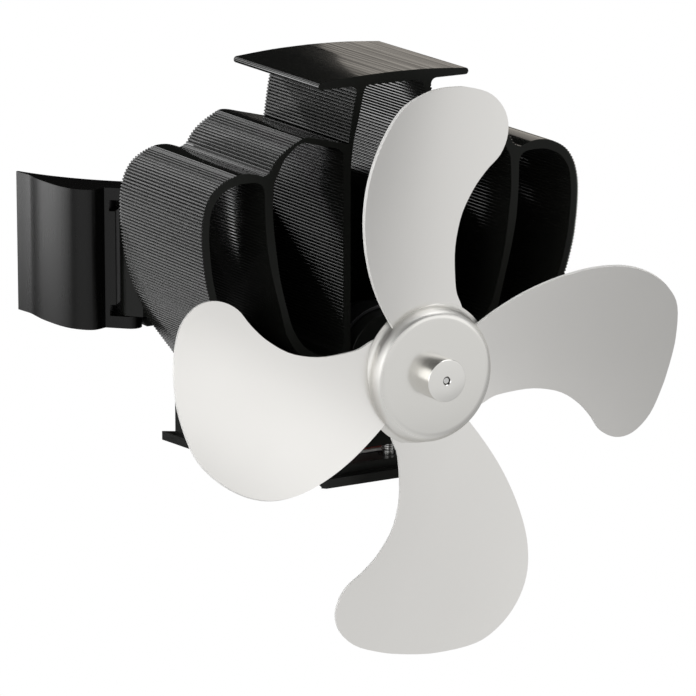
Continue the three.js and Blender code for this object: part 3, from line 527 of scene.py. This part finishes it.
def smooth_line(points, steps=smooth_steps):
    """A curve through the points, as a list of finer points"""
    knots = [Vector(point) for point in points]
    last = len(knots) - 1
    line = []
    for span in range(last):
        before, start = knots[max(span - 1, 0)], knots[span]
        end, after = knots[span + 1], knots[min(span + 2, last)]
        pull_start, pull_end = (end - before) / 2, (after - start) / 2
        for step in range(steps):
            t = step / steps
            line.append(
                start * (2 * t**3 - 3 * t**2 + 1) + pull_start * (t**3 - 2 * t**2 + t)
                + end * (3 * t**2 - 2 * t**3) + pull_end * (t**3 - t**2)
            )
    return line + [knots[last]]


def round_line(centre, radius, start, end, steps):
    """An arc from start to end, in degrees"""
    angles = [math.radians(start + (end - start) * step / steps) for step in range(steps + 1)]
    return [Vector(centre) + radius * Vector((math.cos(angle), math.sin(angle))) for angle in angles]


def sink_points(shares, across=half_width):
    return [(share * across, axis_z + up * rise) for share, up in shares]


def ribbed(line, side, depth=inner_rib_depth, run_in=0):
    """Cuts ribs into a smooth line: side is 1 where the metal is on the left of its travel, -1 on the right.
    The ribs reach their depth over the first and last run_in ribs"""
    lengths = [0.0]
    for start, end in zip(line, line[1:]):
        lengths.append(lengths[-1] + (end - start).length)
    count = max(1, round(lengths[-1] / rib_pitch)) * rib_steps
    cut_line = []
    span = 0
    for step in range(count + 1):
        reach = lengths[-1] * step / count
        while span < len(line) - 2 and lengths[span + 1] < reach:
            span += 1
        share = (reach - lengths[span]) / (lengths[span + 1] - lengths[span])
        along = (line[span + 1] - line[span]).normalized()
        into_metal = side * Vector((-along.y, along.x))
        crest = math.sin(math.pi * (step % rib_steps) / rib_steps)
        grown = min(1.0, min(step, count - step) / (run_in * rib_steps)) if run_in else 1.0
        cut_line.append(line[span].lerp(line[span + 1], share) + into_metal * depth * grown * (1 - crest))
    return cut_line


def flipped(line):
    return [Vector((-point.x, point.y)) for point in reversed(line)]


def as_vectors(points):
    return [Vector(point) for point in points]


def sink_outline():
    """The extrusion's outside: the top of its cap, then down the right side to the pad, and mirrored"""
    nose_centre = (cap_half - cap_nose, cap_under + cap_nose)
    crown = smooth_line([
        (0.0, sink_high.z),
        (nose_centre[0] / 2, sink_high.z - cap_sag / 4),
        (nose_centre[0], nose_centre[1] + cap_nose),
    ], 12)
    nose = round_line(nose_centre, cap_nose, 90, -90, 16)
    hollow_x = column_outer_shares[0][0] * column_half + cap_fillet
    hollow = round_line((hollow_x, cap_under - cap_fillet), cap_fillet, 90, 180, 10)
    column_side = sink_points(column_outer_shares, column_half)
    column = ribbed(smooth_line(column_side), -1, rib_depth)
    column = [point for point in column if point.y < hollow[-1].y]
    roof = smooth_line(column_side[-1:] + sink_points(roof_shares))
    roof = roof[:smooth_roof] + ribbed(roof[smooth_roof:], -1, rib_depth, rib_run_in)
    lobe = smooth_line(sink_points(lobe_shares))
    lobe = lobe[:smooth_crest] + ribbed(lobe[smooth_crest:], -1, rib_depth, rib_run_in)
    pad = as_vectors([(pad_half, pad_top), (pad_half, pad_bottom)])
    half = crown + nose[1:] + hollow + column + roof[1:] + lobe[1:] + pad
    return half + flipped(half[1:])


def outer_cell():
    cell_wall = ribbed(smooth_line(sink_points(outer_cell_shares)), 1)
    web = ribbed(smooth_line(sink_points(web_outer_shares)), 1)
    pocket = round_line((0.0, axis_z), column_half, pocket_start, pocket_end, 12)
    cell_floor = as_vectors([
        (pad_half - wall, pad_top + wall), (pad_half - 2 * wall, pad_top), (pocket[0].x, pad_top + pad_rise),
    ])
    return cell_wall + cell_floor + pocket + web[:-1]


def inner_cell():
    roof = ribbed(smooth_line(sink_points(roof_inner_shares)), 1)
    web = ribbed(smooth_line(sink_points(web_inner_shares)), 1)
    hollow_centre = (column_half + cell_fillet, web[-1].y + cell_fillet)
    hollow = round_line(hollow_centre, cell_fillet, -90, -180, 6)
    column_top = Vector((column_half, axis_z + column_side_share * rise))
    column = ribbed([hollow[-1], column_top], 1, rib_depth)
    return roof + web[1:-1] + hollow[:-1] + column


def channel():
    lean = smooth_line(sink_points(column_inner_shares, channel_half))
    corner = (lean[0].x - cap_fillet, cap_under - cap_fillet)
    side = ribbed(lean + [Vector((channel_half, axis_z + channel_straight_rise))], 1)
    hollow = round_line(corner, cap_fillet, 90, 0, 8)
    right = hollow[:-1] + side
    cradle = round_line((0.0, axis_z), channel_half, 0, -180, 40)
    return right + cradle + flipped(right)


def add_loop(bm, line, depth_y):
    verts = [bm.verts.new((point.x, depth_y, point.y)) for point in line]
    for start, end in zip(verts, verts[1:] + verts[:1]):
        bm.edges.new((start, end))


def pulled_along_y(bm, depth):
    """Fills the loops in bm, holes left open, and pulls the face back along +Y. It fills in millimetres,
    because the fill merges points that are closer than a few hundredths of a unit"""
    bmesh.ops.remove_doubles(bm, verts=bm.verts, dist=same_point)
    bmesh.ops.scale(bm, vec=(1000.0, 1000.0, 1000.0), verts=bm.verts)
    bmesh.ops.triangle_fill(bm, edges=bm.edges, use_beauty=False, use_dissolve=False, normal=(0.0, -1.0, 0.0))
    bmesh.ops.scale(bm, vec=(0.001, 0.001, 0.001), verts=bm.verts)
    pulled = bmesh.ops.extrude_face_region(bm, geom=bm.faces[:])["geom"]
    moved = [item for item in pulled if isinstance(item, bmesh.types.BMVert)]
    bmesh.ops.translate(bm, vec=(0.0, depth, 0.0), verts=moved)
    bmesh.ops.recalc_face_normals(bm, faces=bm.faces)


def extruded_face(shade, place):
    """1 on the extruded faces and 0 on the sawn ends, which are duller"""
    from_middle = shade.work_out("ABSOLUTE", part_of(shade, place, "Y") - (sink_low.y + sink_high.y) / 2, 0.0)
    return shade.work_out("LESS_THAN", from_middle, (sink_high.y - sink_low.y) / 2 - sawn_depth)


def smoother_than_sawn(shade, place):
    return extruded_face(shade, place) * -extruded_smoothness


def drawn_gloss(shade, place):
    """Coat of the extruded faces, in streaks as the die left them, which show most on the flat cap"""
    drawn = shade.add("ShaderNodeMapping", None, {"Vector": place, "Scale": (1100.0, 9.0, 1100.0)})
    streak = shade.add("ShaderNodeTexNoise", None, {"Vector": drawn, "Scale": 1.0, "Detail": 3.0})
    on_cap = shade.work_out("GREATER_THAN", part_of(shade, place, "Z"), cap_under)
    streaks = on_cap * (cap_streaks - side_streaks) + side_streaks
    gloss = side_gloss - on_cap * (side_gloss - cap_gloss)
    return extruded_face(shade, place) * ((streak - 0.5) * streaks + gloss)


sink_bm = bmesh.new()
for line in (outer_cell(), inner_cell()):
    add_loop(sink_bm, line, sink_low.y)
    add_loop(sink_bm, flipped(line), sink_low.y)
add_loop(sink_bm, sink_outline(), sink_low.y)
add_loop(sink_bm, channel(), sink_low.y)
pulled_along_y(sink_bm, sink_high.y - sink_low.y)
black_anodised = finish(
    "black_anodised", (0.009, 0.0096, 0.0083), metallic=0.0, rough=0.4, grain=(900.0, 14.0, 900.0),
    grain_depth=0.000006, ior=1.2, coat=drawn_gloss,
    duller=smoother_than_sawn,
)
sink_mesh = mesh_of(sink_bm, "heat_sink_ribbed", 50)
link_piece("heat_sink_ribbed", sink_mesh, "stove_body", black_anodised, "heat_sink", "heat_sink")

# Motor case: a black can with two ferrite field magnets inside, a bronze bush at each end and a plastic
# end cap. A bent spring clip holds it down in the cradle of the heat sink's channel.
motor_fine_edge = 0.0001
motor_case_edge = 0.0002

bronze = finish(
    "bronze", (0.42, 0.27, 0.12), metallic=1.0, rough=0.4, grain=(600.0, 600.0, 600.0), grain_depth=0.000006,
)
ferrite = finish(
    "ferrite", (0.06, 0.06, 0.065), metallic=0.2, rough=0.7, grain=(500.0, 500.0, 500.0), grain_depth=0.00001,
)
from_solid("motor_can", "stove_body", black_coated, "black_coated", motor_case_edge)
from_solid("motor_end_cap", "stove_body", polymer, "heat_polymer", motor_fine_edge)
from_solid("motor_clip", "stove_body", dark_steel, "dark_steel", motor_fine_edge)
for end in ("front", "rear"):
    from_solid(f"motor_bearing_{end}", "stove_body", bronze, "bronze", motor_fine_edge)
for height in ("upper", "lower"):
    from_solid(f"motor_magnet_{height}", "stove_body", ferrite, "ferrite", motor_case_edge)

# Motor rotor: a ground steel shaft that carries the copper-wound armature and the commutator.
# It turns with the fan.
shaft_edge = 0.00015
armature_edge = 0.0003

copper = finish(
    "copper", (0.62, 0.28, 0.14), metallic=1.0, rough=0.35, grain=(40.0, 900.0, 40.0), grain_depth=0.00002,
)
from_solid("motor_shaft", "rotor", steel, "bright_steel", shaft_edge)
from_solid("motor_armature", "rotor", copper, "copper", armature_edge)
from_solid("motor_commutator", "rotor", copper, "copper", motor_fine_edge)

# Terminals and leads: two bronze tabs in the end cap, and the red and black wires from the generator that
# are soldered to them. The wires run up behind the heat sink and forward through its channel.
red_sleeve = finish(
    "red_sleeve", (0.45, 0.02, 0.015), metallic=0.0, rough=0.45, grain=(200.0, 200.0, 200.0),
    grain_depth=0.000005,
)
black_sleeve = finish(
    "black_sleeve", (0.02, 0.02, 0.02), metallic=0.0, rough=0.45, grain=(200.0, 200.0, 200.0),
    grain_depth=0.000005,
)
for side in ("right", "left"):
    from_solid(f"motor_terminal_{side}", "stove_body", bronze, "bronze", motor_fine_edge)
from_solid("lead_red", "stove_body", red_sleeve, "red_sleeve")
from_solid("lead_black", "stove_body", black_sleeve, "black_sleeve")

# Fan blades: four blades stamped from one aluminium sheet, satin anodised silver. They are twisted so that
# each leading edge stands forward, and the press leaves their cut edge pale and dull. Shares are of the
# fan's radius, with the angle round it in degrees.
fan_y = joints["fan_spin"]["pos_m"][1]
fan_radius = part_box("fan_blades")[1][0]
sheet = 0.001
blade_columns = 16
blade_row_steps = 4
blade_edge = 0.0001
blade_set_back = -0.0034
blade_lean = -0.026
blade_reach_forward = 0.0466
blade_twist = -0.339
blade_scoop = 0.299
cut_edge_limit = 0.72
leading_shares = [
    (0.233, -40), (0.256, -39.6), (0.311, -38.7), (0.416, -36.6), (0.537, -33.4), (0.651, -29.9),
    (0.733, -26.8), (0.806, -23.3), (0.878, -18.7), (0.940, -13.5), (0.979, -8.5), (0.997, -1), (1.0, 2.6),
]
trailing_shares = [
    (0.233, 40), (0.261, 32), (0.306, 21.9), (0.416, 14.9), (0.540, 13.8), (0.648, 16.5), (0.727, 19.7),
    (0.794, 22.7), (0.870, 23.1), (0.938, 20.9), (0.984, 16.2), (0.998, 10), (1.0, 6.6),
]


def blade_height(across, out):
    """Height of the sheet towards the viewer, all in shares of the fan radius"""
    straight = blade_set_back + blade_lean * across + blade_reach_forward * out
    return straight + blade_twist * across * out + blade_scoop * across**2


def blade(turn):
    leading = smooth_line(leading_shares, blade_row_steps)
    trailing = smooth_line(trailing_shares, blade_row_steps)
    rows = len(leading) - 1
    bm = bmesh.new()
    bmesh.ops.create_grid(bm, x_segments=blade_columns, y_segments=rows, size=0.5)
    for vert in bm.verts:
        row = round((vert.co.y + 0.5) * rows)
        radius_share, degrees = leading[row].lerp(trailing[row], vert.co.x + 0.5)
        angle = math.radians(degrees)
        height = blade_height(radius_share * math.sin(angle), radius_share * math.cos(angle))
        vert.co = (
            radius_share * fan_radius * math.sin(angle + turn),
            fan_y - fan_radius * height,
            axis_z + radius_share * fan_radius * math.cos(angle + turn),
        )
    bmesh.ops.remove_doubles(bm, verts=bm.verts, dist=0.00001)
    bmesh.ops.recalc_face_normals(bm, faces=bm.faces)
    return bm


def sheared_edge(shade):
    """1 on the sheet's cut edge, which is left pale and dull, and 0 on its two faces"""
    facing = part_of(shade, shade.add("ShaderNodeTexCoord", output="Normal"), "Y")
    return shade.work_out("LESS_THAN", shade.work_out("ABSOLUTE", facing, 0.0), cut_edge_limit)


silver = finish(
    "satin_silver", (0.768, 0.757, 0.733), metallic=1.0, rough=0.3, grain=(700.0, 700.0, 700.0),
    grain_depth=0.000004, rough_swing=0.05, tone_swing=0.03, cut=sheared_edge,
)
for number in range(4):
    blade_mesh = mesh_of(blade(number * math.pi / 2), f"blade_{number + 1}", 60)
    piece = link_piece(f"blade_{number + 1}", blade_mesh, "rotor", silver, "fan_blades", "fan_blades")
    thickness = piece.modifiers.new("sheet", "SOLIDIFY")
    thickness.thickness = sheet
    thickness.offset = 0.0
    rounding = piece.modifiers.new("edges", "BEVEL")
    rounding.width = blade_edge
    rounding.segments = 2
    rounding.harden_normals = True
    rounding.limit_method = "ANGLE"
    rounding.angle_limit = math.radians(50)

# Hub disc: the middle of the same sheet, drawn forward into a flat disc with a round shoulder and turned
# out again where it meets the blades. The drawing leaves its side wall a little duller than its face.
hub_face_height = 0.0058
hub_face_radius = 0.0179
hub_wall_radius = 0.0214
hub_flange_radius = 0.0229
hub_hole_radius = 0.0053
hub_fillet = 0.0017
hub_shoulder = hub_wall_radius - hub_face_radius
hub_steps = 128
flange_back = hub_face_height + sheet / 2
flange_front = flange_back - sheet
disc_face_y = fan_y - hub_face_height
drawn_depth = 0.002
drawn_levels = [(0.1, 0.0), (0.6, 0.32)]


def arc_pairs(centre, radius, start, end, steps):
    return [(point.x, point.y) for point in round_line(centre, radius, start, end, steps)]


def drawn_wall(shade, place):
    """Extra roughness where the sheet was drawn back from the flat face of the disc"""
    return grey(shade, drawn_levels, (part_of(shade, place, "Y") - disc_face_y) * (1.0 / drawn_depth))


disc_profile = (
    [(hub_hole_radius, 0.0)]
    + arc_pairs((hub_face_radius, hub_shoulder), hub_shoulder, -90, 0, 10)
    + arc_pairs((hub_wall_radius + hub_fillet, flange_front - hub_fillet), hub_fillet, 180, 90, 6)
    + arc_pairs((hub_flange_radius - sheet / 2, hub_face_height), sheet / 2, -90, 90, 6)
    + [(hub_wall_radius - sheet, flange_back)]
    + arc_pairs((hub_face_radius, hub_shoulder), hub_shoulder - sheet, 0, -90, 8)
    + [(hub_hole_radius, sheet), (hub_hole_radius, 0.0)]
)
silver_disc = finish(
    "satin_silver_disc", (0.716, 0.706, 0.678), metallic=1.0, rough=0.2, grain=(500.0, 500.0, 500.0),
    grain_depth=0.000002, rough_swing=0.03, tone_swing=0.02, duller=drawn_wall,
)
disc_mesh = mesh_of(turned(disc_profile, hub_steps, centre=(0.0, disc_face_y, axis_z)), "hub_disc", 40)
link_piece("hub_disc", disc_mesh, "rotor", silver_disc, "fan_blades", "fan_blades")

# Hub boss: a turned aluminium knob in front of the disc, bored for the motor shaft, with its neck pushed
# through the disc's hole.
boss_low, boss_high = (Vector(corner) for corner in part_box("hub_boss"))
boss_radius = boss_high.x
boss_length = disc_face_y - boss_low.y
boss_depth = boss_high.y - boss_low.y
neck_radius = 0.005
bore = 0.00127
bore_land = 0.004
edge_break = 0.00042
boss_steps = 96

boss_profile = [
    (bore, bore_land), (bore, edge_break / 2), (bore + edge_break / 2, 0.0),
    (boss_radius - edge_break, 0.0), (boss_radius - 0.4 * edge_break, 0.15 * edge_break),
    (boss_radius - 0.15 * edge_break, 0.4 * edge_break), (boss_radius, edge_break),
    (boss_radius, boss_length), (neck_radius, boss_length), (neck_radius, boss_depth), (bore, boss_depth),
    (bore, bore_land),
]
turned_metal = finish(
    "turned_aluminium", (0.75, 0.741, 0.714), metallic=1.0, rough=0.2, grain=(60.0, 900.0, 60.0),
    grain_depth=0.000003, rough_swing=0.04, tone_swing=0.03,
)
boss_mesh = mesh_of(turned(boss_profile, boss_steps, centre=(0.0, boss_low.y, axis_z)), "hub_boss_turned", 30)
link_piece("hub_boss_turned", boss_mesh, "rotor", turned_metal, "hub_boss", "hub_boss")

# Hub nut and grub screws: a thin steel nut that clamps the disc from behind, and two black grub screws
# that grip the shaft.
nut_edge = 0.0003
grub_screw_edge = 0.0001

from_solid("hub_nut", "rotor", steel, "bright_steel", nut_edge)
for side in ("right", "left"):
    from_solid(f"grub_screw_{side}", "rotor", dark_steel, "dark_steel", grub_screw_edge)
